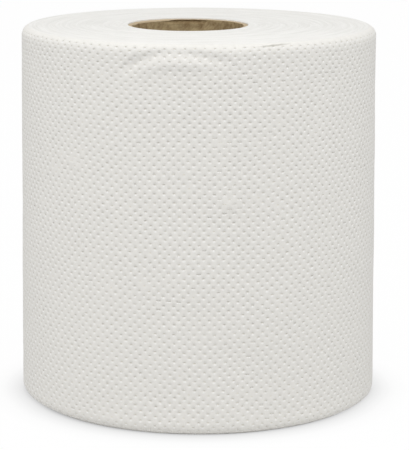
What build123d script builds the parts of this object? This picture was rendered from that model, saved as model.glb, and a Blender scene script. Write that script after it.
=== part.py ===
"""Paper towel roll standing on its end: a long paper web wound on a cardboard core.

The frame has its origin at the middle of the roll's base, with +Z up along the roll and the
front of the roll towards -Y. The core is wound off centre, towards -X.
"""
import math
import os

from build123d import *

# Paper, mm and degrees
web_width = 200.0
roll_diameter = 189.0
top_edge_radius = 4.7
base_edge_bevel = 2.0
sheet_thickness = 0.4
tail_azimuth = 118.0

# Cardboard core, mm
core_bore_diameter = 60.0
core_wall = 2.2
core_offset = 5.6
core_recess = 0.4
core_seat_clearance = 0.1

# Turns that show on the cut end faces, as the lanes between the rounds of one spiral groove, mm
turn_spacing = 10.0
groove_width = 1.4
groove_depth = 0.4

roll_radius = roll_diameter / 2
core_outer_radius = core_bore_diameter / 2 + core_wall
core_length = web_width - 2 * core_recess
seat_radius = core_outer_radius + core_seat_clearance

# The groove starts beside the core's seat and ends beside the worked edges, a groove's width
# clear of both. Its rounds lie closer together on the side that the core is wound towards.
flat_radius = roll_radius - max(top_edge_radius, base_edge_bevel)
right_start = seat_radius - core_offset + groove_width
left_start = seat_radius + core_offset + groove_width
right_span = flat_radius - groove_width - right_start
left_span = flat_radius - groove_width - left_start
half_turn_count = max(1, round((right_span + left_span) / turn_spacing))

# The tail is the end of the outermost sheet. Over the half turn that leads up to it the wall has
# the full radius, and over the other half it drops by one sheet, to pass under the tail.
tail_direction = Vector(math.cos(math.radians(tail_azimuth)), math.sin(math.radians(tail_azimuth)), 0)


def upright(axis_point, outward):
    """The upright plane through an axis, with its X outward and its Y up the roll."""
    return Plane(origin=axis_point, x_dir=outward, z_dir=outward.cross(Vector(0, 0, 1)))


def wound_half(axis_point, outward, radius):
    """Half the wound paper: its section, bevelled below and rounded above, turned half a circle."""
    with BuildSketch(upright(axis_point, outward)) as section:
        with BuildLine():
            foot = Polyline((0, 0), (radius - base_edge_bevel, 0), (radius, base_edge_bevel))
            wall = Line(foot @ 1, (radius, web_width - top_edge_radius))
            top_edge = TangentArc(wall @ 1, (radius - top_edge_radius, web_width), tangent=wall % 1)
            Polyline(top_edge @ 1, (0, web_width), (0, 0))
        make_face()
    revolve(section.sketch, axis=Axis(axis_point, (0, 0, 1)), revolution_arc=180)


def groove_crossing(index):
    """Where the groove crosses the X axis after so many half turns, right and left by turns."""
    share = index / half_turn_count
    if index % 2 == 0:
        return right_start + share * right_span
    return -left_start - share * left_span


def groove_half(start_x, end_x, face_z, outward_z):
    """Half a turn of the groove in an end face, from one crossing of the X axis to the next."""
    axis_point = Vector((start_x + end_x) / 2, 0, face_z)
    radius = abs(start_x - end_x) / 2
    inner_lip = radius - groove_width / 2
    outer_lip = radius + groove_width / 2
    with BuildSketch(upright(axis_point, Vector(math.copysign(1, start_x - end_x), 0, 0))) as notch:
        with BuildLine():
            Polyline(
                (inner_lip, 0),
                (radius, -outward_z * groove_depth),
                (outer_lip, 0),
                (outer_lip, outward_z * groove_depth),
                (inner_lip, outward_z * groove_depth),
                close=True,
            )
        make_face()
    axis = Axis(axis_point, (0, 0, 1))
    revolve(notch.sketch, axis=axis, revolution_arc=180, mode=Mode.SUBTRACT)


def spiral_groove(face_z, outward_z):
    """The groove of one end face, wound outwards from the core, half a turn at a time."""
    for index in range(half_turn_count):
        groove_half(groove_crossing(index), groove_crossing(index + 1), face_z, outward_z)


with BuildPart() as paper_roll:
    wound_half(Vector(0, 0, 0), -tail_direction, roll_radius)
    wound_half(tail_direction * (-sheet_thickness / 2), tail_direction, roll_radius - sheet_thickness / 2)
    with BuildSketch():
        with Locations((-core_offset, 0)):
            Circle(seat_radius)
    extrude(amount=web_width, mode=Mode.SUBTRACT)
    spiral_groove(web_width, 1)
    spiral_groove(0, -1)


with BuildPart() as core:
    with BuildSketch(Plane.XY.offset(core_recess)):
        with Locations((-core_offset, 0)):
            Circle(core_outer_radius)
            Circle(core_bore_diameter / 2, mode=Mode.SUBTRACT)
    extrude(amount=core_length)


paper_roll.part.label = "paper_roll"
core.part.label = "core"

os.makedirs("parts", exist_ok=True)
export_step(paper_roll.part, "parts/paper_roll.step")
export_step(core.part, "parts/core.step")
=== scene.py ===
"""Looks of a paper towel roll: an embossed two-ply web wound off centre on a cardboard core.

The roll stands on its end. Lengths are in metres unless a name says mm.
"""
import logging
import math
from dataclasses import dataclass
from enum import Enum
from functools import partial
from typing import Any, Callable, Sequence

import bpy
import numpy as np
from mathutils import Matrix, Vector


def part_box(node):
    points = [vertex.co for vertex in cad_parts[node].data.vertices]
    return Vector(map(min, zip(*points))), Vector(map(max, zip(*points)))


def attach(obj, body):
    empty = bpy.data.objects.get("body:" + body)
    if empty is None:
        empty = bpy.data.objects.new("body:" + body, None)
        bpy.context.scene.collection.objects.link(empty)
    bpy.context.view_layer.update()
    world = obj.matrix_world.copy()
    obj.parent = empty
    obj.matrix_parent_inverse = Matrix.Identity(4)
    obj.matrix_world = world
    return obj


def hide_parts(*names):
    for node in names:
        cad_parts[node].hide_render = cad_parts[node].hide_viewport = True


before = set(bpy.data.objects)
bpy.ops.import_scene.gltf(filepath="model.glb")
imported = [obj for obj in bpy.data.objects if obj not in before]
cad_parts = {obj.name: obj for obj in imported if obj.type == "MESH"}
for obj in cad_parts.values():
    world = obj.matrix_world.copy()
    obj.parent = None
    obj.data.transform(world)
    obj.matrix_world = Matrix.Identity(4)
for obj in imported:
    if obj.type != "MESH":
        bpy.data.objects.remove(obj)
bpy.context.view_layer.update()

log = logging.getLogger("towel_roll")
MM = 0.001
# Vertices nearer than WELD are merged, and places nearer than SAME count as one.
WELD = 0.02 * MM
SAME = 1e-6
# The core's board, and the gap between the core and the paper wound on it.
CORE_WALL = 2.2 * MM
SEAT_CLEARANCE = 0.1 * MM
NodeAdder = Callable[..., bpy.types.Node]


def to_linear(hex_colour: str) -> tuple[float, float, float, float]:
    """Turns an sRGB hex colour into the linear RGBA that a shader socket takes.

    Args:
        hex_colour: Six hex digits, such as "f2f1ed".

    Returns:
        Linear red, green and blue, and an alpha of 1.
    """
    channels = []
    for start in (0, 2, 4):
        value = int(hex_colour[start:start + 2], 16) / 255
        channels.append(value / 12.92 if value <= 0.04045 else ((value + 0.055) / 1.055) ** 2.4)
    return channels[0], channels[1], channels[2], 1.0


def add_node(tree: bpy.types.NodeTree, kind: str, settings: dict[str | int, Any] | None = None,
             **links: bpy.types.Node | bpy.types.NodeSocket) -> bpy.types.Node:
    """Adds one shader node, sets it and joins its inputs.

    Args:
        tree: The node tree that it goes in.
        kind: The node's type name, after the word ShaderNode.
        settings: Node properties by name, and input values by socket name or number.
        links: Output sockets, or nodes for the first output that they have in use, by input
            socket name, with _ for a space, or by i and a number.

    Returns:
        The new node.
    """
    made = tree.nodes.new("ShaderNode" + kind)
    for name, value in (settings or {}).items():
        if isinstance(name, int) or name in made.inputs:
            made.inputs[name].default_value = value
        else:
            setattr(made, name, value)
    for name, source in links.items():
        numbered = name[0] == "i" and name[1:].isdigit()
        target = made.inputs[int(name[1:])] if numbered else made.inputs[name.replace("_", " ")]
        if isinstance(source, bpy.types.Node):
            source = next(socket for socket in source.outputs if socket.enabled)
        tree.links.new(source, target)
    return made


def new_material(name: str) -> tuple[bpy.types.Material, NodeAdder]:
    """Makes an empty node material.

    Args:
        name: What the real surface is.

    Returns:
        The material, and add_node for its node tree.
    """
    material = bpy.data.materials.new(name)
    material.use_nodes = True
    material.node_tree.nodes.clear()
    return material, partial(add_node, material.node_tree)


def add_mask(add: NodeAdder, about: bpy.types.Node, rim: tuple[float, float], full: float = 1.0,
             rise: str = "SMOOTHSTEP") -> bpy.types.Node:
    """Adds a mask about a middle: 0 outside its rim, and rising inwards to its full value.

    Args:
        add: Adds a node to the material.
        about: The node whose vector runs from the mask's middle to each point.
        rim: The lengths of that vector at which the mask starts and is full.
        full: The mask's value inside.
        rise: How it rises, in the Map Range node's word for it.

    Returns:
        The node whose result is the mask.
    """
    away = add("VectorMath", {"operation": "LENGTH"}, i0=about)
    outer, inner = rim
    settings = {"interpolation_type": rise, "From Min": outer, "From Max": inner, "To Max": full}
    return add("MapRange", settings, Value=away)


def soft_noise(points: np.ndarray, wavelength: float, seed: int, waves: int = 28) -> np.ndarray:
    """Smooth seeded noise about −1 to 1, as a sum of plane waves.

    Args:
        points: One row of coordinates per point.
        wavelength: The mean distance between crests.
        seed: Chooses the pattern.
        waves: How many plane waves are added up.

    Returns:
        One value per point.
    """
    source = np.random.default_rng(seed)
    axes = points.shape[1]
    turns = source.normal(size=(waves, axes)) * (2 * math.pi / wavelength) / math.sqrt(axes)
    phases = source.uniform(0, 2 * math.pi, waves)
    total = np.zeros(len(points))
    for turn, phase in zip(turns, phases):
        total += np.cos(points @ turn + phase)
    return total / math.sqrt(waves)


def smooth_step(low: float, high: float, value: np.ndarray) -> np.ndarray:
    """Rises smoothly from 0 at low to 1 at high."""
    share = np.clip((value - low) / (high - low), 0, 1)
    return share * share * (3 - 2 * share)


def drop_selection() -> None:
    """Leaves object mode with nothing selected and nothing active."""
    if bpy.context.object and bpy.context.object.mode != "OBJECT":
        bpy.ops.object.mode_set(mode="OBJECT")
    bpy.ops.object.select_all(action="DESELECT")
    bpy.context.view_layer.objects.active = None


def make_active(piece: bpy.types.Object) -> None:
    """Selects one object alone and makes it active."""
    drop_selection()
    piece.select_set(True)
    bpy.context.view_layer.objects.active = piece


def coordinates(piece: bpy.types.Object) -> np.ndarray:
    """The vertex positions of a mesh object, one row each."""
    flat = np.empty(len(piece.data.vertices) * 3)
    piece.data.vertices.foreach_get("co", flat)
    return flat.reshape(-1, 3)


def place_vertices(piece: bpy.types.Object, positions: np.ndarray) -> None:
    """Writes new vertex positions into a mesh object."""
    piece.data.vertices.foreach_set("co", positions.astype(np.float32).ravel())
    piece.data.update()


def edge_ends(mesh: bpy.types.Mesh) -> np.ndarray:
    """The two vertices of each edge, one row each."""
    ends = np.empty(len(mesh.edges) * 2, int)
    mesh.edges.foreach_get("vertices", ends)
    return ends.reshape(-1, 2)


def corner_vertices(mesh: bpy.types.Mesh) -> np.ndarray:
    """The vertex of each face corner."""
    corners = np.empty(len(mesh.loops), int)
    mesh.loops.foreach_get("vertex_index", corners)
    return corners


def map_corners(mesh: bpy.types.Mesh, name: str, places: np.ndarray) -> None:
    """Adds a UV map, from one row of coordinates per face corner."""
    mesh.uv_layers.new(name=name).uv.foreach_set("vector", places.astype(np.float32).ravel())


def mark_vertices(mesh: bpy.types.Mesh, name: str, values: np.ndarray) -> None:
    """Adds a named value per vertex, for a material to read."""
    mesh.attributes.new(name, "FLOAT", "POINT").data.foreach_set("value", values.astype(np.float32))


def pick_vertices(piece: bpy.types.Object, chosen: np.ndarray) -> None:
    """Selects just these vertices, and goes to edit mode in vertex select.

    Args:
        piece: The active mesh object, in object mode.
        chosen: One truth value per vertex.
    """
    mesh = piece.data
    mesh.vertices.foreach_set("select", chosen)
    mesh.edges.foreach_set("select", chosen[edge_ends(mesh)].all(1))
    mesh.polygons.foreach_set("select", np.zeros(len(mesh.polygons), bool))
    bpy.ops.object.mode_set(mode="EDIT")
    bpy.ops.mesh.select_mode(type="VERT")


def close_rims() -> None:
    """Bridges the two open rims of the mesh in edit mode, faces it outwards and leaves the mode."""
    bpy.ops.mesh.select_mode(type="EDGE")
    bpy.ops.mesh.select_all(action="DESELECT")
    bpy.ops.mesh.select_non_manifold(
        extend=False, use_wire=False, use_multi_face=False, use_non_contiguous=False, use_verts=False)
    bpy.ops.mesh.bridge_edge_loops()
    bpy.ops.mesh.select_all(action="SELECT")
    bpy.ops.mesh.normals_make_consistent(inside=False)
    bpy.ops.object.mode_set(mode="OBJECT")


def report(piece: bpy.types.Object) -> None:
    """Reports a finished piece."""
    log.info("%s: %d triangles", piece.name, sum(len(face.vertices) - 2 for face in piece.data.polygons))


@dataclass(frozen=True)
class PitForm:
    """A pit's name in words, its rim's corners, and its shape as shares of pit_radius and pit_depth."""

    words: str
    corners: int
    width: float
    height: float
    depth: float
    radius: float


class Pit(Enum):
    """How one cell of the embossing came out."""

    PRESSED = PitForm("one pit", 6, 1.1, 0.85, 1.0, 1.0)
    DOUBLED = PitForm("two small pits, where both plies' patterns show", 8, 1.45, 0.75, 0.75, 0.75)


@dataclass(frozen=True)
class EmbossedTissue:
    """Two-ply creped tissue: matt, warm white, softly fibrous.

    Tissue scatters light inside its loose fibres, so it looks chalky with no highlight. The
    embossing rolls press both plies together in each pit, so the paper puffs up between the pits.
    Each pit carries a warm painted shade, strongest in its upper half, and the paper just below it
    a painted highlight. A rim says how far from a pit's middle a part of it starts and is full, in
    pit radii.
    """

    paper: str = "f1efea"
    # A warm painted shade in the pits.
    pit_shade: str = "ece7d9"
    pit_shade_rim: tuple[float, float] = (0.8, 0.2)
    # A painted highlight on the paper just below each pit.
    lip: str = "fdfdfb"
    lip_highlight_rim: tuple[float, float] = (1.0, 0.2)
    lip_highlight_share: float = 0.85
    pit_depth_mm: float = 0.325
    pit_rim: tuple[float, float] = (0.95, 0.2)
    dish_mm: float = 0.13
    dish_rim: tuple[float, float] = (1.25, 0.45)
    clump_mm: float = 1.2
    crepe_mm: float = 0.55
    fibre_mm: float = 0.06
    nick_middle_mm: tuple[float, float] = (289.0, 199.45)
    nick_half_mm: tuple[float, float] = (11.0, 0.9)
    nick_lean: float = math.radians(4.5)
    # A painted shadow for the dark line of the nicked turn.
    nick_shadow: str = "c8c5bd"

    def build(self) -> bpy.types.Material:
        """Makes the material for the outside of the web."""
        material, add = new_material("embossed_two_ply_tissue")
        place = add("TexCoord").outputs["Object"]
        web = add("UVMap", {"uv_map": "web"})
        # The pit map is in pit radii about each pit's middle, so a length of 1 is the pit's rim.
        in_pit = add("UVMap", {"uv_map": "pit"})
        press = add("Attribute", {"attribute_name": "press"}).outputs["Fac"]
        # A pit falls steeply under its upper lip and rises more gently to its lower one.
        mirrored = add("VectorMath", {"operation": "ABSOLUTE"}, i0=in_pit)
        steeper = add("VectorMath", {"operation": "MULTIPLY", 1: (0.0, 0.42, 0.0)}, i0=mirrored)
        oval = add("VectorMath", {"operation": "MULTIPLY_ADD", 1: (0.88, 1.42, 1.0)}, i0=in_pit, i2=steeper)
        pit = add_mask(add, oval, self.pit_rim, -self.pit_depth_mm)
        # The paper is drawn down gently into the pit from above, and puffs up again close below it.
        evenly = add("VectorMath", {"operation": "MULTIPLY", 1: (0.62, 0.76, 1.0)}, i0=in_pit)
        wide = add("VectorMath", {"operation": "MULTIPLY_ADD", 1: (0.0, -0.14, 0.0)}, i0=mirrored, i2=evenly)
        dish = add_mask(add, wide, self.dish_rim, -self.dish_mm)
        sunk = add("Math", {"operation": "ADD"}, i0=pit, i1=dish)
        pressed = add("Math", {"operation": "MULTIPLY"}, i0=sunk, i1=press)
        # Painted shade: each pit is tinted warmer and darker, most just above its middle, where its upper
        # wall is in shade.
        raised = add("VectorMath", {"operation": "ADD", 1: (0.0, -0.3, 0.0)}, i0=oval)
        painted_pit_shade = add_mask(add, raised, self.pit_shade_rim)
        # Clumps of fibres, and the crepe's fine cross ridges.
        clumps = add("TexNoise", {"Scale": 1 / (self.clump_mm * MM), "Detail": 4.0}, Vector=place)
        stretched = add("Mapping", {"Scale": (1.0, 0.35, 1.0)}, Vector=web)
        crepe = add("TexNoise", {"Scale": 1 / (self.crepe_mm * MM), "Detail": 3.0}, Vector=stretched)
        mottle = add("MapRange", {
            "From Min": 0.3, "From Max": 0.7, "To Min": 0.975, "To Max": 1.0,
        }, Value=clumps)
        # Painted highlight: the fibres pulled out along the pit's lower lip are painted brighter, where
        # light from above would catch them.
        lower = add("VectorMath", {
            "operation": "MULTIPLY_ADD", 1: (0.75, 1.3, 1.0), 2: (0.0, 1.4, 0.0),
        }, i0=in_pit)
        lip_highlight_mask = add_mask(add, lower, self.lip_highlight_rim, self.lip_highlight_share)
        pressed_lip_highlight = add("Math", {"operation": "MULTIPLY"}, i0=lip_highlight_mask, i1=press)
        shades = {"data_type": "RGBA", 6: to_linear(self.paper), 7: to_linear(self.lip)}
        lip_highlighted = add("Mix", shades, i0=pressed_lip_highlight)
        pit_shaded = add("Mix", {"data_type": "RGBA", 7: to_linear(self.pit_shade)}, i0=painted_pit_shade, i6=lip_highlighted)
        # One turn is nicked along the top edge, to the right of the front; its dark line is a painted
        # shadow.
        (along, up), (half_length, half_width) = self.nick_middle_mm, self.nick_half_mm
        at_nick = add("Mapping", {
            "vector_type": "TEXTURE",
            "Location": (along * MM, up * MM, 0.0),
            "Rotation": (0.0, 0.0, self.nick_lean),
            "Scale": (half_length * MM, half_width * MM, 1.0),
        }, Vector=web)
        nick_shadow_mask = add_mask(add, at_nick, (1.0, 0.3), rise="LINEAR")
        base = add("Mix", {"data_type": "RGBA", 7: to_linear(self.nick_shadow)}, i0=nick_shadow_mask, i6=pit_shaded)
        colour = add("VectorMath", {"operation": "SCALE"}, i0=base, Scale=mottle)
        pits = add("Bump", {"Distance": MM}, Height=pressed)
        fluff = add("Math", {"operation": "ADD"}, i0=clumps, i1=crepe)
        fibres = add("Bump", {"Strength": 0.3, "Distance": self.fibre_mm * MM}, Height=fluff, Normal=pits)
        shader = add("BsdfPrincipled", {
            "Roughness": 0.92, "IOR": 1.47, "Specular IOR Level": 0.25, "Sheen Weight": 0.1,
        }, Base_Color=colour, Normal=fibres)
        add("OutputMaterial", Surface=shader)
        return material


@dataclass(frozen=True)
class CutTurns:
    """The saw-cut edges of the turns: fluffy, matt, faintly streaked along the winding.

    Loose fibre ends stand up from the cut and scatter light, so it looks chalky with no highlight.
    A painted shade, standing in for the front light's falloff, dims the ends from front_y on to
    far_shade_share of their brightness at the roll's axis.
    """

    paper: str = "fdfcf9"
    shade: str = "e8e7e2"
    # How dark the painted shade makes the ends at the roll's axis.
    far_shade_share: float = 0.93
    front_y: float = -0.09
    fluff_mm: float = 0.9
    bump_mm: float = 0.12

    def build(self) -> bpy.types.Material:
        """Makes the material for the roll's two ends."""
        material, add = new_material("cut_tissue_edges")
        place = add("TexCoord").outputs["Object"]
        turn = add("UVMap", {"uv_map": "web"})
        fluff = add("TexNoise", {"Scale": 1 / (self.fluff_mm * MM), "Detail": 3.0}, Vector=place)
        # The web map counts turns across and runs 0 to 1 round, so the streaks follow the winding.
        stretched = add("Mapping", {"Scale": (0.2, 11.0, 1.0)}, Vector=turn)
        streaks = add("TexNoise", {"Scale": 1.0, "Detail": 5.0, "Roughness": 0.7}, Vector=stretched)
        mixed = add("Math", {"operation": "MULTIPLY_ADD", 1: 0.35}, i0=fluff, i2=streaks)
        share = add("MapRange", {"From Min": 0.45, "From Max": 0.9}, Value=mixed)
        shades = {"data_type": "RGBA", 6: to_linear(self.paper), 7: to_linear(self.shade)}
        even = add("Mix", shades, i0=share)
        # Painted shade: the ends darken away from the front, standing in for the front light's falloff.
        depth = add("SeparateXYZ", Vector=place).outputs["Y"]
        painted_falloff_shade = add("MapRange", {
            "interpolation_type": "SMOOTHSTEP", "From Min": self.front_y, "From Max": 0.0,
            "To Min": 1.0, "To Max": self.far_shade_share,
        }, Value=depth)
        colour = add("VectorMath", {"operation": "SCALE"}, i0=even, Scale=painted_falloff_shade)
        bump = add("Bump", {"Strength": 0.4, "Distance": self.bump_mm * MM}, Height=mixed)
        shader = add("BsdfPrincipled", {
            "Roughness": 0.95, "IOR": 1.47, "Specular IOR Level": 0.2, "Sheen Weight": 0.1,
        }, Base_Color=colour, Normal=bump)
        add("OutputMaterial", Surface=shader)
        return material


@dataclass(frozen=True)
class KraftBoard:
    """Recycled core board: brown, mottled by fibres, matt, and paler where it was cut or torn."""

    board: str = "b9a680"
    dark: str = "887251"
    torn: str = "c2af91"
    blotch_mm: float = 5
    bundle_mm: float = 1.2
    bundle_lean: float = math.radians(50)
    bump_mm: float = 0.12

    def build(self) -> bpy.types.Material:
        """Makes the material for the core."""
        material, add = new_material("recycled_core_board")
        place = add("TexCoord").outputs["Object"]
        cut = add("Attribute", {"attribute_name": "cut"}).outputs["Fac"]
        # Broad blotches, and long bundles of fibres that lean with the winding.
        blotches = add("TexNoise", {"Scale": 1 / (self.blotch_mm * MM), "Detail": 3.0}, Vector=place)
        leaning = add("Mapping", {
            "vector_type": "TEXTURE", "Rotation": (0.0, self.bundle_lean, 0.0), "Scale": (1.0, 1.0, 3.0),
        }, Vector=place)
        bundles = add("TexNoise", {
            "Scale": 1 / (self.bundle_mm * MM), "Detail": 5.0, "Roughness": 0.75,
        }, Vector=leaning)
        mixed = add("Math", {"operation": "ADD"}, i0=blotches, i1=bundles)
        share = add("MapRange", {"From Min": 0.78, "From Max": 1.2}, Value=mixed)
        shades = {"data_type": "RGBA", 6: to_linear(self.board), 7: to_linear(self.dark)}
        worn = add("Mix", shades, i0=share)
        # The bundles fray the border between the cut ply and the face of the board.
        frayed = add("Math", {"operation": "MULTIPLY_ADD", 1: 0.8, 2: -0.4}, i0=bundles)
        border = add("Math", {"operation": "ADD"}, i0=cut, i1=frayed)
        bare = add("MapRange", {"From Min": 0.4, "From Max": 0.6}, Value=border)
        colour = add("Mix", {"data_type": "RGBA", 7: to_linear(self.torn)}, i0=bare, i6=worn)
        bump = add("Bump", {"Strength": 0.5, "Distance": self.bump_mm * MM}, Height=mixed)
        shader = add("BsdfPrincipled", {
            "Roughness": 0.85, "IOR": 1.5, "Specular IOR Level": 0.3,
        }, Base_Color=colour, Normal=bump)
        add("OutputMaterial", Surface=shader)
        return material


@dataclass
class EmbossCell:
    """One diamond of the embossing lattice, modelled flat and copied over the web."""

    half_width: float
    half_height: float
    pit_radius: float
    pit_depth: float
    rim_share: float = 0.8

    def build(self, kind: Pit) -> tuple[np.ndarray, list[tuple[int, ...]], np.ndarray]:
        """Models a cell with its pit or pits. Its first four vertices are the diamond's corners.

        Args:
            kind: How the cell came out.

        Returns:
            The vertices, the faces, and for each face corner its place about its pit's middle, in
            pit radii.
        """
        drop_selection()
        form = kind.value
        doubled = kind is Pit.DOUBLED
        bpy.ops.mesh.primitive_circle_add(vertices=4, radius=1.0, fill_type="NOTHING")
        cell = bpy.context.object
        bpy.ops.object.mode_set(mode="EDIT")
        bpy.ops.transform.resize(value=(self.half_width, self.half_height, 1))
        bpy.ops.mesh.select_all(action="DESELECT")
        bpy.ops.mesh.primitive_circle_add(vertices=form.corners, radius=self.pit_radius, fill_type="NOTHING")
        bpy.ops.transform.resize(value=(form.width, form.height, 1))
        bpy.ops.mesh.select_all(action="SELECT")
        bpy.ops.mesh.bridge_edge_loops()
        bpy.ops.object.mode_set(mode="OBJECT")
        inner = np.abs(coordinates(cell)).max(1) < self.half_height * self.rim_share
        pick_vertices(cell, inner)
        bpy.ops.mesh.edge_face_add()
        if doubled:
            # The rim's face is cut in two across its middle, and each half gets its own pit.
            bpy.ops.object.mode_set(mode="OBJECT")
            pick_vertices(cell, inner & (np.abs(coordinates(cell)[:, 0]) < SAME))
            bpy.ops.mesh.vert_connect()
            bpy.ops.object.mode_set(mode="OBJECT")
            pick_vertices(cell, inner)
            bpy.ops.mesh.select_mode(type="FACE")
        bpy.ops.mesh.poke()
        bpy.ops.object.mode_set(mode="OBJECT")
        middles = np.arange(len(cell.data.vertices)) >= 4 + form.corners
        pick_vertices(cell, middles)
        bpy.ops.transform.translate(value=(0, 0, -self.pit_depth * form.depth))
        bpy.ops.object.mode_set(mode="OBJECT")
        points = coordinates(cell)
        faces = [tuple(face.vertices) for face in cell.data.polygons]
        offset = self.pit_radius * form.width * 0.5 if doubled else 0.0
        radius = self.pit_radius * form.radius
        about = []
        for face in faces:
            corners = points[list(face), :2]
            about.append((corners - (math.copysign(offset, corners[:, 0].mean()), 0)) / radius)
        bpy.data.objects.remove(cell)
        return points, faces, np.concatenate(about)


@dataclass(frozen=True)
class Crease:
    """A soft dent or ridge pressed into the wound web, along an arc on the flat web.

    Places are (degrees round from the front, towards the right; millimetres up from the base). The
    arc is followed in steps, and end_softness is how suddenly it fades at its two ends: less is
    more sudden.
    """

    start: tuple[float, float]
    middle: tuple[float, float]
    end: tuple[float, float]
    half_width_mm: float
    rise_mm: float
    steps: int = 25
    end_softness: float = 0.6

    def relief(self, places: np.ndarray, radius: float) -> np.ndarray:
        """How far the crease moves each place outward.

        Args:
            places: Angle from the front in radians, and height, one row per point.
            radius: The roll's radius.

        Returns:
            The rise of each point.
        """
        arc = (self.start, self.middle, self.end)
        knots = np.array([[math.radians(angle) * radius, up * MM] for angle, up in arc])
        flat = np.column_stack((places[:, 0] * radius, places[:, 1]))
        near = np.full(len(flat), np.inf)
        along = np.zeros(len(flat))
        for share in np.linspace(0, 1, self.steps):
            spot = (1 - share) ** 2 * knots[0] + 2 * share * (1 - share) * knots[1] + share ** 2 * knots[2]
            distance = np.hypot(*(flat - spot).T)
            along = np.where(distance < near, share, along)
            near = np.minimum(near, distance)
        fade = np.sin(math.pi * np.clip(along, 0.02, 0.98)) ** self.end_softness
        return self.rise_mm * MM * fade * np.exp(-(near / (self.half_width_mm * MM)) ** 2)


@dataclass(frozen=True)
class Smear:
    """A patch where the embossing was rubbed flat, with its angle in degrees from the front."""

    angle: float
    height_mm: float
    half_width_mm: float
    half_height_mm: float

    def strength(self, places: np.ndarray, radius: float) -> np.ndarray:
        """How flat the pits are rubbed, from 0 to 1.

        Args:
            places: Angle from the front in radians, and height, one row per point.
            radius: The roll's radius.

        Returns:
            The share of each pit's depth that is lost.
        """
        across = (places[:, 0] - math.radians(self.angle)) * radius / (self.half_width_mm * MM)
        up = (places[:, 1] - self.height_mm * MM) / (self.half_height_mm * MM)
        return np.exp(-(across ** 2 + up ** 2))


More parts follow.
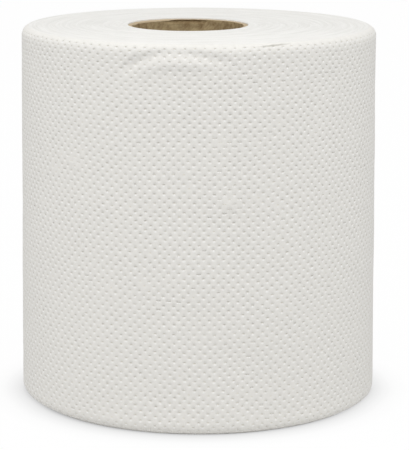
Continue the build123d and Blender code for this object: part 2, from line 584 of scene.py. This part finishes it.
@dataclass
class PaperRoll:
    """The wound paper: an embossed outer turn, two cut ends and the bore that holds the core.

    The web is wrapped over the top edge by top_wrap, and at the foot it bends in by base_wrap and
    runs on straight to base_gap above the floor. The wall stands proud_mm out from the radius at
    the top and fuller_mm more at the base, and base_shift moves the foot sideways a little. A
    noise is given by its wavelength and its size. On the two ends the turns show as lanes, each of
    rings_per_lane rings of faces.
    """

    height: float
    radius: float
    seat_x: float
    seat_radius: float
    top_rounding: float = 4.7 * MM
    top_wrap: float = math.radians(76)
    base_height: float = 5.9 * MM
    base_rounding: float = 4.6 * MM
    base_wrap: float = math.radians(60)
    base_gap: float = 0.05 * MM
    base_shift: float = 0.6 * MM
    proud_mm: float = 0.1
    fuller_mm: float = 1.4
    wall_noises_mm: Sequence[tuple[float, float]] = ((50, 0.1), (14, 0.035))
    sheet: float = 0.4 * MM
    tail_azimuth: float = math.radians(118)
    columns: int = 117
    row_rise: float = 2.4 * MM
    row_lift: float = 2.6 * MM
    drift_noises_mm: Sequence[tuple[float, float]] = ((60, 0.45), (18, 0.11))
    pit_radius: float = 0.8 * MM
    pit_depth: float = 0.18 * MM
    size_spread: float = 0.07
    depth_spread: float = 0.08
    place_spread: float = 0.13 * MM
    clash_length: float = 0.075
    clash_width: float = 0.03
    doubled_share: float = 0.6
    stray_share: float = 0.004
    faint_share: float = 0.015
    soft_base: float = 0.14
    turns: int = 150
    rings_per_lane: int = 7
    lanes: float = 5.5
    lane_mm: float = 0.22
    lane_side_mm: float = 0.06
    smooth_angle: float = math.radians(66)
    seed: int = 11
    creases: Sequence[Crease] = ()
    smears: Sequence[Smear] = ()

    @property
    def length(self) -> float:
        """The length of the outermost turn."""
        return 2 * math.pi * self.radius

    @property
    def half_pitch(self) -> float:
        """Half the distance between pits along the web."""
        return self.length / (2 * self.columns + 1)

    @property
    def low(self) -> float:
        """The web's lower edge, as a distance along its bent profile."""
        drop = self.base_height - self.base_rounding * math.sin(self.base_wrap) - self.base_gap
        return self.base_height - self.base_rounding * self.base_wrap - drop / math.cos(self.base_wrap)

    @property
    def high(self) -> float:
        """The web's upper edge, as a distance along its bent profile."""
        return self.height - self.top_rounding * (1 - self.top_wrap)

    @property
    def web_ends(self) -> tuple[float, float]:
        """Where the flat web starts, at the tail, and where it ends, one turn on."""
        return -self.half_pitch / 2, self.length - self.half_pitch / 2

    def sites(self) -> tuple[np.ndarray, float]:
        """Where the embossing cells go on the flat web.

        Returns:
            The middle of each cell, and half a cell's height.
        """
        rows = 2 * round((self.high - self.low) / self.row_rise / 2) + 1
        rise = (self.high - self.low) / rows
        middles = []
        for row in range(rows - 2):
            shift = (row + 1) % 2
            across = (2 * np.arange(self.columns - shift) + 1 + shift) * self.half_pitch
            middles.append(np.column_stack((across, np.full(len(across), self.low + (row + 1.5) * rise))))
        return np.concatenate(middles), rise

    def pits(self, middles: np.ndarray) -> dict[str, np.ndarray]:
        """Decides how each cell came out: where both plies' patterns clash, pits double or fade.

        Args:
            middles: The middle of each cell on the flat web.

        Returns:
            For each cell its size, depth, shift, and whether it is doubled.
        """
        source = np.random.default_rng(self.seed)
        count = len(middles)
        clash = soft_noise(middles * (1.0, 0.7), self.clash_length, self.seed + 1)
        size = source.normal(1.0, self.size_spread, count).clip(0.8, 1.2)
        depth = source.normal(1.0, self.depth_spread, count).clip(0.75, 1.25)
        depth *= 1 + 0.08 * soft_noise(middles, 0.02, self.seed + 2)
        clashing = (np.abs(clash) < self.clash_width) & (source.random(count) < self.doubled_share)
        doubled = clashing | (source.random(count) < self.stray_share)
        depth[source.random(count) < self.faint_share] *= 0.3
        # The pits fade out where the web bends over the roll's two edges.
        upper = smooth_step(self.high - 3.0 * MM, self.high - 0.5 * MM, middles[:, 1])
        lower = smooth_step(self.low + 4.0 * MM, self.low + 1.0 * MM, middles[:, 1])
        depth *= (1 - 0.7 * upper) * (1 - 0.6 * lower)
        # The pits are a little shallower towards the foot.
        depth *= 1 - self.soft_base + self.soft_base * smooth_step(0.02, 0.15, middles[:, 1])
        places = np.column_stack((self.facing(middles[:, 0]), middles[:, 1]))
        for smear in self.smears:
            rubbed = smear.strength(places, self.radius)
            depth *= 1 - 0.9 * rubbed
            doubled |= (rubbed > 0.15) & (source.random(count) < self.doubled_share)
        shift = source.normal(0, self.place_spread, (count, 2))
        return {"size": size, "depth": depth, "shift": shift, "doubled": doubled}

    def lay_web(self) -> bpy.types.Object:
        """Copies the cells over the flat web, joins them, and straightens the web's four edges.

        Returns:
            The flat web: X along it, Y up the roll and Z outward.
        """
        middles, rise = self.sites()
        chosen = self.pits(middles)
        cell = EmbossCell(self.half_pitch, rise, self.pit_radius, self.pit_depth)
        points, faces, pit_map, press, first = [], [], [], [], 0
        for kind in Pit:
            shape, sides, about = cell.build(kind)
            pick = np.flatnonzero(chosen["doubled"] == (kind is Pit.DOUBLED))
            size, depth, shift = (chosen[name][pick] for name in ("size", "depth", "shift"))
            # The four corners are shared with the cells around, so only the pit varies.
            many = np.repeat(shape[None], len(pick), 0)
            many[:, 4:, :2] = many[:, 4:, :2] * size[:, None, None] + shift[:, None]
            many[:, 4:, 2] *= depth[:, None]
            many[:, :, :2] += middles[pick][:, None]
            for start in (first + np.arange(len(pick)) * len(shape)).tolist():
                faces.extend(tuple(start + corner for corner in face) for face in sides)
            points.append(many.reshape(-1, 3))
            pit_map.append(np.tile(about, (len(pick), 1)))
            press.append(np.repeat(depth, len(shape)))
            first += len(pick) * len(shape)
            log.info("embossing: %d cells with %s", len(pick), kind.value.words)
        drop_selection()
        mesh = bpy.data.meshes.new("towel_roll")
        mesh.from_pydata(np.concatenate(points).tolist(), [], faces)
        web = bpy.data.objects.new("towel_roll", mesh)
        bpy.context.scene.collection.objects.link(web)
        map_corners(mesh, "pit", np.concatenate(pit_map))
        mark_vertices(mesh, "press", np.concatenate(press))
        make_active(web)
        bpy.ops.object.mode_set(mode="EDIT")
        bpy.ops.mesh.select_all(action="SELECT")
        bpy.ops.mesh.remove_doubles(threshold=WELD)
        bpy.ops.object.mode_set(mode="OBJECT")
        # Each limit lies just inside the two rows of corners that a zigzag edge runs between.
        start, end = self.web_ends
        self.straighten(web, 1, self.low + rise * 1.7, self.low, above=False)
        self.straighten(web, 1, self.high - rise * 1.7, self.high, above=True)
        self.straighten(web, 0, self.half_pitch * 1.2, start, above=False)
        self.straighten(web, 0, self.length - self.half_pitch * 2.2, end, above=True)
        flat = coordinates(web)
        flat[:, :2] += self.drift(flat[:, :2])
        place_vertices(web, flat)
        return web

    def drift(self, flat: np.ndarray) -> np.ndarray:
        """How the web's uneven stretch in the winder shifts the lattice, fading out at its edges.

        Args:
            flat: Distance along the web and up its bent profile, one row per point.

        Returns:
            The shift of each point along and up.
        """
        along, up = flat.T
        sides = smooth_step(0, 30 * MM, along)
        sides = sides * smooth_step(self.length - self.half_pitch, self.length - 30 * MM, along)
        edges = smooth_step(self.low, self.low + 8 * MM, up) * smooth_step(self.high, self.high - 8 * MM, up)
        (long, strong), (short, weak) = self.drift_noises_mm
        shift = np.empty_like(flat)
        for axis in (0, 1):
            slow = soft_noise(flat, long * MM, self.seed + 20 + axis) * strong * MM
            quick = soft_noise(flat, short * MM, self.seed + 30 + axis) * weak * MM
            shift[:, axis] = (slow + quick) * sides * edges
        # The rows are lifted most two thirds of the way up the roll.
        share = (up - self.low) / (self.high - self.low)
        lift = self.row_lift * np.sin(math.pi * np.clip(share, 0, 1) ** 1.7)
        shift[:, 1] += lift * (share < 1) * sides
        return shift

    def facing(self, along: np.ndarray) -> np.ndarray:
        """The angle from the front, towards the right, at each distance along the web."""
        angle = self.tail_azimuth + 2 * math.pi * self.turned(along)
        return (angle + math.pi / 2 + math.pi) % (2 * math.pi) - math.pi

    def straighten(self, web: bpy.types.Object, axis: int, limit: float, line: float, above: bool) -> None:
        """Extrudes one zigzag edge of the flat web to a straight line.

        Args:
            web: The flat web.
            axis: 0 for an edge across the web, 1 for one along it.
            limit: The edge's vertices lie past this.
            line: Where the straight line is.
            above: Whether the edge lies above the limit.
        """
        mesh = web.data
        places = coordinates(web)
        edge_of_loop = np.empty(len(mesh.loops), int)
        mesh.loops.foreach_get("edge_index", edge_of_loop)
        uses = np.bincount(edge_of_loop, minlength=len(mesh.edges))
        ends = edge_ends(mesh)
        past = places[:, axis] > limit if above else places[:, axis] < limit
        rim = (uses == 1) & past[ends].all(1)
        chosen = np.zeros(len(places), bool)
        chosen[ends[rim].ravel()] = True
        mesh.vertices.foreach_set("select", chosen)
        mesh.edges.foreach_set("select", rim)
        mesh.polygons.foreach_set("select", np.zeros(len(mesh.polygons), bool))
        bpy.ops.object.mode_set(mode="EDIT")
        bpy.ops.mesh.select_mode(type="EDGE")
        bpy.ops.mesh.extrude_edges_move()
        bpy.ops.object.mode_set(mode="OBJECT")
        places = coordinates(web)
        picked = np.zeros(len(places), bool)
        mesh.vertices.foreach_get("select", picked)
        places[picked, axis] = line
        place_vertices(web, places)

    def turned(self, along: np.ndarray) -> np.ndarray:
        """The share of a turn from the tail to each distance along the web."""
        return (along + self.half_pitch / 2) / self.length

    def outer_radius(self, turned: np.ndarray) -> np.ndarray:
        """The wall's radius: past the tail it drops by one sheet and grows back in half a turn."""
        drop = self.sheet / 2 * (1 + np.cos(2 * math.pi * turned))
        return self.radius - np.where(turned < 0.5, drop, 0.0)

    def wrap(self, flat: np.ndarray) -> np.ndarray:
        """Winds points of the flat web round the roll, over its top edge and under its bevelled foot.

        Args:
            flat: Distance along the web, distance up its bent profile, and rise.

        Returns:
            The points on the roll.
        """
        turned = self.turned(flat[:, 0])
        angle = self.tail_azimuth + 2 * math.pi * turned
        up = flat[:, 1]
        over = np.maximum(0, (up - (self.height - self.top_rounding)) / self.top_rounding)
        below = np.maximum(0, self.base_height - up)
        under = np.minimum(below / self.base_rounding, self.base_wrap)
        bevel = np.maximum(0, below - self.base_rounding * self.base_wrap)
        bend = over + under
        rounding = np.where(over > 0, self.top_rounding, self.base_rounding)
        radial = self.outer_radius(turned) - rounding * (1 - np.cos(bend)) - bevel * math.sin(self.base_wrap)
        height = np.where(over > 0, self.height - self.top_rounding * (1 - np.sin(over)), up)
        foot = self.base_height - self.base_rounding * np.sin(under) - bevel * math.cos(self.base_wrap)
        height = np.where(below > 0, foot, height)
        places = np.column_stack((self.facing(flat[:, 0]), height))
        radial += self.relief(np.column_stack((np.cos(angle), np.sin(angle), height / self.radius)))
        radial += self.base_shift * np.cos(angle) * smooth_step(0, self.base_height, below)
        rise = flat[:, 2].copy()
        for crease in self.creases:
            rise += crease.relief(places, self.radius)
        radial += rise * np.cos(bend)
        height += rise * np.sin(bend) * np.where(under > 0, -1, 1)
        return np.column_stack((radial * np.cos(angle), radial * np.sin(angle), height))

    def relief(self, places: np.ndarray) -> np.ndarray:
        """The slow unevenness of the wound wall, which stands a little fuller towards its foot."""
        (long, strong), (short, weak) = self.wall_noises_mm
        uneven = soft_noise(places * self.radius, long * MM, self.seed + 5) * strong
        uneven += soft_noise(places * self.radius, short * MM, self.seed + 6) * weak
        up = places[:, 2] * self.radius
        return (self.proud_mm + self.fuller_mm * (1 - up / self.height) + uneven) * MM

    def end_grid(self, rim: np.ndarray, name: str, up: int) -> bpy.types.Object:
        """Makes one cut end as a spiral grid, whose rings follow the winding out to the rim.

        Args:
            rim: The web's edge on the roll, in order from the tail round.
            name: The new object's name.
            up: 1 for the top, −1 for the base.

        Returns:
            The end, from the bore's edge to the rim.
        """
        arms = self.rings_per_lane
        rings = round(self.lanes * arms) + arms
        last = len(rim) - 1
        drop_selection()
        bpy.ops.mesh.primitive_grid_add(x_subdivisions=last, y_subdivisions=rings, size=2)
        end = bpy.context.object
        end.name = name
        places = coordinates(end)
        step = np.round((places[:, 0] + 1) / 2 * last).astype(int)
        ring = np.round((places[:, 1] + 1) / 2 * rings).astype(int)
        angle = np.unwrap(np.arctan2(rim[:, 1], rim[:, 0]))
        turned = (angle - angle[0]) / (2 * math.pi)
        spread = np.hypot(rim[:, 0], rim[:, 1])
        inner = spread - (spread[-1] - spread[0]) * turned
        # Each ring winds out by one lane in a turn, so it ends where the ring one lane on starts.
        share = np.clip((ring - arms + arms * turned[step]) / (rings - arms), 0, 1).round(6)
        outward = np.column_stack((np.cos(angle), np.sin(angle)))[step]
        bore = outward * self.seat_radius + (self.seat_x, 0)
        flat = bore * (1 - share[:, None]) + outward * inner[step][:, None] * share[:, None]
        drop = self.turn_relief(ring, share, angle[step])
        if up > 0:
            flat_edge = (inner - self.top_rounding * math.cos(self.top_wrap))[step]
            excess = np.clip(np.hypot(*flat.T) - flat_edge, 0, self.top_rounding)
            drop += self.top_rounding - np.sqrt(self.top_rounding ** 2 - excess ** 2)
        face = self.height if up > 0 else 0.0
        made = np.column_stack((flat, face - up * drop))
        made[share == 1] = rim[step[share == 1]]
        made[(share == 1) & (step == last)] = rim[0]
        made[(ring == rings) & (step == last)] = rim[last]
        place_vertices(end, made)
        mesh = end.data
        for layer in list(mesh.uv_layers):
            mesh.uv_layers.remove(layer)
        web_map = np.column_stack((share * self.turns - turned[step], turned[step]))
        map_corners(mesh, "web", web_map[corner_vertices(mesh)])
        # An end has no pits, so all of it lies nine pit radii from one.
        map_corners(mesh, "pit", np.full((len(mesh.loops), 2), 9.0))
        return end

    def turn_relief(self, ring: np.ndarray, share: np.ndarray, angle: np.ndarray) -> np.ndarray:
        """How far each point of an end lies below its face: lanes of turns, stepped a little.

        Args:
            ring: The number of the point's ring.
            share: The way from the bore, 0, to the worked edge, 1.
            angle: The point's angle.

        Returns:
            The drop of each point.
        """
        lane = (ring - 2) % self.rings_per_lane
        beside = (lane == 1) | (lane == self.rings_per_lane - 1)
        groove = np.where(lane == 0, self.lane_mm, np.where(beside, self.lane_side_mm, 0.0))
        # The waves are far longer round the winding than across it.
        around = np.column_stack((np.cos(angle), np.sin(angle))) * 0.4
        wave = soft_noise(np.column_stack((around, share * 14)), 1.0, self.seed + 7)
        fine = soft_noise(np.column_stack((around, share * 60)), 1.0, self.seed + 8)
        # In millimetres: a mean drop of 0.1 keeps the waves under the face.
        drop = groove + 0.1 + 0.07 * wave + 0.04 * fine
        fade = smooth_step(0.0, 0.03, share) * smooth_step(1.0, 0.97, share)
        return np.maximum(drop * fade, 0) * MM

    def build(self) -> bpy.types.Object:
        """Models the whole wound paper as one closed mesh."""
        web = self.lay_web()
        flat = coordinates(web)
        map_corners(web.data, "web", flat[corner_vertices(web.data), :2])
        wound = self.wrap(flat)
        place_vertices(web, wound)
        ends = []
        for name, line, up in (("top_end", self.high, 1), ("base_end", self.low, -1)):
            edge = np.flatnonzero(np.abs(flat[:, 1] - line) < SAME)
            edge = edge[np.argsort(flat[edge, 0])]
            ends.append(self.end_grid(wound[edge], name, up))
        self.close_tail(web, flat)
        tissue, cut = EmbossedTissue().build(), CutTurns().build()
        for part in (web, *ends):
            part.data.materials.clear()
            part.data.materials.append(tissue if part is web else cut)
        drop_selection()
        for part in (*ends, web):
            part.select_set(True)
        bpy.context.view_layer.objects.active = web
        bpy.ops.object.join()
        bpy.ops.object.mode_set(mode="EDIT")
        bpy.ops.mesh.select_all(action="SELECT")
        bpy.ops.mesh.remove_doubles(threshold=WELD)
        # The bore's two rims are all that is still open.
        close_rims()
        bpy.ops.object.shade_smooth_by_angle(angle=self.smooth_angle)
        return web

    def close_tail(self, web: bpy.types.Object, flat: np.ndarray) -> None:
        """Joins the web's two cut ends with the tail's edge, one sheet high.

        Args:
            web: The wound web.
            flat: Its vertices on the flat web.
        """
        start, end = self.web_ends
        ends = np.minimum(np.abs(flat[:, 0] - start), np.abs(flat[:, 0] - end)) < SAME
        make_active(web)
        pick_vertices(web, ends)
        bpy.ops.mesh.select_mode(type="EDGE")
        bpy.ops.mesh.bridge_edge_loops()
        bpy.ops.object.mode_set(mode="OBJECT")


@dataclass(frozen=True)
class Patch:
    """A stretch of the core's upper edge, by its first and last angle, in degrees from the right."""

    first: float
    last: float
    softness: float = 4.0

    def cover(self, degrees: np.ndarray) -> np.ndarray:
        """1 inside the stretch and 0 outside, with soft ends."""
        middle, half = (self.first + self.last) / 2, (self.last - self.first) / 2
        away = np.abs((degrees - middle + 180) % 360 - 180)
        return smooth_step(half + self.softness, half - self.softness, away)


@dataclass
class CoreTube:
    """The wound board tube: a sawn upper edge with torn and lifted stretches, and a seam inside.

    The seam starts seam_start degrees from the right and leans by seam_lean degrees a millimetre.
    """

    centre_x: float
    outer_radius: float
    wall: float
    low: float
    high: float
    segments: int = 180
    seam_start: float = 57.0
    seam_lean: float = 1.5
    seam_width_mm: float = 0.8
    seam_rise_mm: float = 0.35
    tear_mm: float = 0.35
    ragged_mm: float = 0.15
    lift_mm: float = 0.9
    uneven_mm: float = 0.12
    smooth_angle: float = math.radians(50)
    seed: int = 5
    torn: Sequence[Patch] = (Patch(108, 186), Patch(-14, 12))
    lifted: Sequence[Patch] = (Patch(72, 114), Patch(172, 190), Patch(-8, 10))

    def profile(self) -> list[tuple[float, float]]:
        """The tube's section as (radius, height), from the outer foot up, over and down inside."""
        outer, inner = self.outer_radius, self.outer_radius - self.wall
        stations = [(outer, self.low), (outer, self.high - 1.2 * MM)]
        stations += [(outer - 0.1 * MM, self.high - 0.1 * MM)]
        stations += [(outer - self.wall * share, self.high) for share in (0.2, 0.5, 0.8)]
        # The inside has a ring every 0.45 mm near the edge, for the torn plies, and fewer below.
        stations += [(inner, self.high - 0.15 * MM - depth * MM) for depth in np.arange(0, 9, 0.45)]
        stations += [(inner, self.high - depth * MM) for depth in (10, 12, 15, 20, 30, 50, 80, 120, 160)]
        return stations + [(inner, self.low)]

    def build(self) -> bpy.types.Object:
        """Models the tube by extruding one circle along the section."""
        drop_selection()
        stations = self.profile()
        bpy.ops.mesh.primitive_circle_add(vertices=self.segments, radius=stations[0][0], fill_type="NOTHING")
        tube = bpy.context.object
        tube.name = "core_tube"
        tube.data.name = "core_tube"
        bpy.ops.object.mode_set(mode="EDIT")
        bpy.ops.transform.translate(value=(0, 0, stations[0][1]))
        for (radius, height), (next_radius, next_height) in zip(stations, stations[1:]):
            bpy.ops.mesh.extrude_edges_move()
            ratio = next_radius / radius
            bpy.ops.transform.resize(value=(ratio, ratio, 1), center_override=(0, 0, 0))
            bpy.ops.transform.translate(value=(0, 0, next_height - height))
        close_rims()
        self.weather(tube)
        bpy.ops.object.shade_smooth_by_angle(angle=self.smooth_angle)
        tube.data.materials.append(KraftBoard().build())
        return tube

    def weather(self, tube: bpy.types.Object) -> None:
        """Roughens the sawn edge, lifts its plies, raises the seam, and marks what was cut.

        Args:
            tube: The plain tube, about the origin's upright axis, which moves to the core's place.
        """
        places = coordinates(tube)
        radius = np.hypot(places[:, 0], places[:, 1])
        outward = places[:, :2] / radius[:, None]
        degrees = np.degrees(np.arctan2(places[:, 1], places[:, 0]))
        # All depths are in millimetres below the upper edge.
        depth = (self.high - places[:, 2]) / MM
        inside = smooth_step(self.outer_radius - 0.6 * self.wall, self.outer_radius - self.wall, radius)
        torn = np.max([patch.cover(degrees) for patch in self.torn], axis=0)
        lifted = np.max([patch.cover(degrees) for patch in self.lifted], axis=0)
        round_edge = outward * self.outer_radius
        ragged = soft_noise(round_edge, 3 * MM, self.seed) * 0.5 + 0.5
        near_edge = smooth_step(1.1, 0.0, depth)
        # Torn stretches slope down inside, and under a lifted ply the wall falls back.
        slope = near_edge * inside * torn * (self.tear_mm + self.tear_mm * ragged)
        drop = slope + near_edge * self.ragged_mm * ragged
        behind = smooth_step(0.3, 0.9, depth) * smooth_step(2.3, 1.4, depth)
        move = behind * lifted * inside * self.lift_mm * (0.7 + 0.3 * ragged)
        turn = (degrees - self.seam_start + self.seam_lean * depth + 180) % 360 - 180
        seam = np.exp(-(np.radians(turn) * self.outer_radius / MM / self.seam_width_mm) ** 2)
        move -= seam * inside * self.seam_rise_mm * smooth_step(0.2, 1.5, depth)
        uneven = soft_noise(np.column_stack((round_edge, places[:, 2])), 6 * MM, self.seed + 1)
        move += uneven * self.uneven_mm * inside
        radius = radius + move * MM
        placed = np.column_stack((outward * radius[:, None] + (self.centre_x, 0), places[:, 2] - drop * MM))
        place_vertices(tube, placed)
        rim = smooth_step(0.35, 0.1, depth) * (1 - 0.3 * inside)
        edge = torn * smooth_step(1.2, 0.5, depth) * inside
        cut = np.clip(np.maximum(rim, edge) - 0.9 * behind * lifted * (1 - torn), 0, 1)
        mark_vertices(tube.data, "cut", cut)


@dataclass(frozen=True)
class Softbox:
    """A square studio softbox that faces the middle of the roll."""

    name: str
    place: tuple[float, float, float]
    size: float
    power: float
    aim: tuple[float, float, float] = (0.0, 0.0, 0.1)

    def build(self) -> None:
        """Hangs the softbox."""
        lamp = bpy.data.lights.new(self.name, "AREA")
        lamp.size = self.size
        lamp.energy = self.power
        holder = bpy.data.objects.new(self.name, lamp)
        bpy.context.scene.collection.objects.link(holder)
        holder.location = self.place
        holder.rotation_mode = "QUATERNION"
        holder.rotation_quaternion = (Vector(self.aim) - Vector(self.place)).to_track_quat("-Z", "Y")


SOFTBOXES = (
    Softbox("front_softbox", (0.0, -1.9, 1.6), 1.6, 13.2),
    Softbox("overhead_softbox", (0.0, 0.0, 2.4), 2.0, 5.3),
    Softbox("left_softbox", (-2.2, -0.8, 1.4), 1.4, 12.4),
    Softbox("right_softbox", (2.2, -0.8, 1.4), 1.4, 11.3),
)


@dataclass(frozen=True)
class Camera:
    """The camera of the photograph, a little above the roll's top.

    The angles are in radians. Lengths in pixels are measured in the photograph, whose longer side
    is frame_pixels.
    """

    place: tuple[float, float, float] = (0.0009, -1.13933, 0.32296)
    yaw: float = 0.0022
    pitch: float = 0.1779
    roll: float = 0.003
    focal_pixels: float = 2136.9
    shift_pixels: float = -50
    frame_pixels: float = 450
    sensor_mm: float = 36
    nearest: float = 0.01

    def build(self) -> None:
        """Stands the camera where the photograph was taken."""
        yaw, pitch, roll = self.yaw, self.pitch, self.roll
        ahead = Vector((math.sin(yaw) * math.cos(pitch), math.cos(yaw) * math.cos(pitch), -math.sin(pitch)))
        right = Vector((math.cos(yaw), -math.sin(yaw), 0))
        above = right.cross(ahead)
        across = right * math.cos(roll) + above * math.sin(roll)
        upward = above * math.cos(roll) - right * math.sin(roll)
        lens = bpy.data.cameras.new("camera")
        lens.sensor_width = self.sensor_mm
        lens.lens = self.focal_pixels / self.frame_pixels * self.sensor_mm
        lens.shift_y = self.shift_pixels / self.frame_pixels
        lens.clip_start = self.nearest
        camera = bpy.data.objects.new("camera", lens)
        bpy.context.scene.collection.objects.link(camera)
        turn = Matrix((across, upward, -ahead)).transposed()
        camera.matrix_world = Matrix.Translation(self.place) @ turn.to_4x4()
        bpy.context.scene.camera = camera
        bpy.context.scene.view_settings.view_transform = "Standard"


@dataclass
class Studio:
    """A white sweep, with soft light from above and in front.

    The halo is a painted contact shadow: the sweep's shade by the distance from the roll's axis, in
    millimetres. Beside and behind the roll, past halo_turn_y, it lies wider by halo_widening. The
    floor's own light is near_bounce up to the first length of flag_span and far_bounce past the second.
    """

    sky: float = 0.653
    floor_size: float = 12
    floor_white: float = 0.93
    near_bounce: float = 0.95
    far_bounce: float = 0.5
    flag_span: tuple[float, float] = (0.093, 0.104)
    sweep_share: float = 0.97
    backdrop: float = 0.99
    halo_widening: float = 2.5 * MM
    halo_turn_y: tuple[float, float] = (-0.04, 0.0)
    # A painted contact shadow round the roll's foot.
    halo: Sequence[tuple[float, str]] = (
        (89.0, "a4a4a4"), (90.2, "b8b8b8"), (91.2, "cbcbcb"), (92.2, "d9d9d9"),
        (94.0, "e8e8e8"), (96.0, "eeeeee"), (98.0, "f2f2f2"), (100.0, "f6f6f6"),
        (102.0, "f8f8f8"), (104.0, "fbfbfb"), (107.0, "fdfdfd"), (115.0, "ffffff"),
    )

    def build(self) -> None:
        """Makes the floor, the lights and the camera."""
        self.make_floor()
        self.make_sky()
        for softbox in SOFTBOXES:
            softbox.build()
        Camera().build()

    def make_floor(self) -> None:
        """Lays the white floor, which only stages the roll."""
        drop_selection()
        bpy.ops.mesh.primitive_plane_add(size=self.floor_size)
        floor = bpy.context.object
        floor.name = "studio_floor"
        material, add = new_material("white_studio_floor")
        # The evenly glowing sweep falls off only in a painted contact shadow, the soft halo round the roll's
        # foot.
        place = add("TexCoord").outputs["Object"]
        away = add("VectorMath", {"operation": "LENGTH"}, i0=place)
        # The halo lies a little wider beside and behind the roll, away from the front softbox.
        depth = add("SeparateXYZ", Vector=place).outputs["Y"]
        start, end = self.halo_turn_y
        widened = add("MapRange", {
            "interpolation_type": "SMOOTHSTEP", "From Min": start, "From Max": end,
            "To Max": self.halo_widening,
        }, Value=depth)
        beyond = add("Math", {"operation": "SUBTRACT"}, i0=away, i1=widened)
        nearest, farthest = self.halo[0][0] * MM, self.halo[-1][0] * MM
        share = add("MapRange", {"From Min": nearest, "From Max": farthest}, Value=beyond)
        painted_shadow_ramp = add("ValToRGB", Fac=share)
        stops = painted_shadow_ramp.color_ramp.elements
        for index, (distance, shade) in enumerate(self.halo):
            position = (distance * MM - nearest) / (farthest - nearest)
            stop = stops[index] if index < 2 else stops.new(position)
            stop.position = position
            stop.color = to_linear(shade)
        matt = add("BsdfDiffuse", {"Color": (self.floor_white,) * 3 + (1,)})
        glow_with_painted_shadow = add("Emission", Color=painted_shadow_ramp)
        shown = add("MixShader", {0: self.sweep_share}, i1=matt, i2=glow_with_painted_shadow)
        # Black flags beside a real set keep the floor's light off the subject, except at its foot.
        start, end = self.flag_span
        bounce = add("MapRange", {
            "From Min": start, "From Max": end, "To Min": self.near_bounce, "To Max": self.far_bounce,
        }, Value=away)
        flagged = add("BsdfDiffuse", Color=bounce)
        seen = add("LightPath").outputs["Is Camera Ray"]
        both = add("MixShader", i0=seen, i1=flagged, i2=shown)
        add("OutputMaterial", Surface=both)
        floor.data.materials.append(material)

    def make_sky(self) -> None:
        """Lights the set from all round, with a white backdrop behind it."""
        world = bpy.data.worlds.new("studio_air")
        bpy.context.scene.world = world
        world.use_nodes = True
        world.node_tree.nodes.clear()
        add = partial(add_node, world.node_tree)
        air = add("Background", {"Color": (1, 1, 1, 1), "Strength": self.sky})
        back = add("Background", {"Color": (1, 1, 1, 1), "Strength": self.backdrop})
        seen = add("LightPath").outputs["Is Camera Ray"]
        both = add("MixShader", i0=seen, i1=air, i2=back)
        add("OutputWorld", Surface=both)


def main() -> None:
    """Builds the studio and the roll, and reports each piece."""
    logging.basicConfig(level=logging.INFO, format="%(name)s: %(message)s")
    Studio().build()
    _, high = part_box("paper_roll")
    core_low, core_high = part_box("core")
    core_x = (core_low.x + core_high.x) / 2
    core_radius = (core_high.x - core_low.x) / 2
    paper = PaperRoll(
        height=high.z,
        radius=high.x,
        seat_x=core_x,
        seat_radius=core_radius + SEAT_CLEARANCE,
        creases=(
            Crease((-24, 185), (-19, 193), (-9, 196.2), 2.1, -1.35),
            Crease((-14, 195.5), (-2, 197.5), (10, 190.5), 2.1, -1.35),
            Crease((-17, 187), (-9, 192), (4, 189), 2.2, 0.7),
            Crease((6, 122), (9, 120), (12.5, 115), 0.9, 0.4),
            Crease((7, 115), (9.5, 119), (12, 123), 0.9, 0.4),
            Crease((-44, 138), (-41, 136), (-38, 132), 0.9, 0.4),
        ),
        smears=(
            Smear(9.3, 118.7, 5.0, 4.2),
            Smear(-41.4, 135.2, 5.0, 3.0),
            Smear(6.9, 148.5, 4.5, 2.2),
        ),
    )
    roll = paper.build()
    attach(roll, "root")
    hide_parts("paper_roll")
    report(roll)
    tube = CoreTube(
        centre_x=core_x,
        outer_radius=core_radius,
        wall=CORE_WALL,
        low=core_low.z,
        high=core_high.z,
    ).build()
    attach(tube, "root")
    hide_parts("core")
    report(tube)


if __name__ == "__main__":
    main()
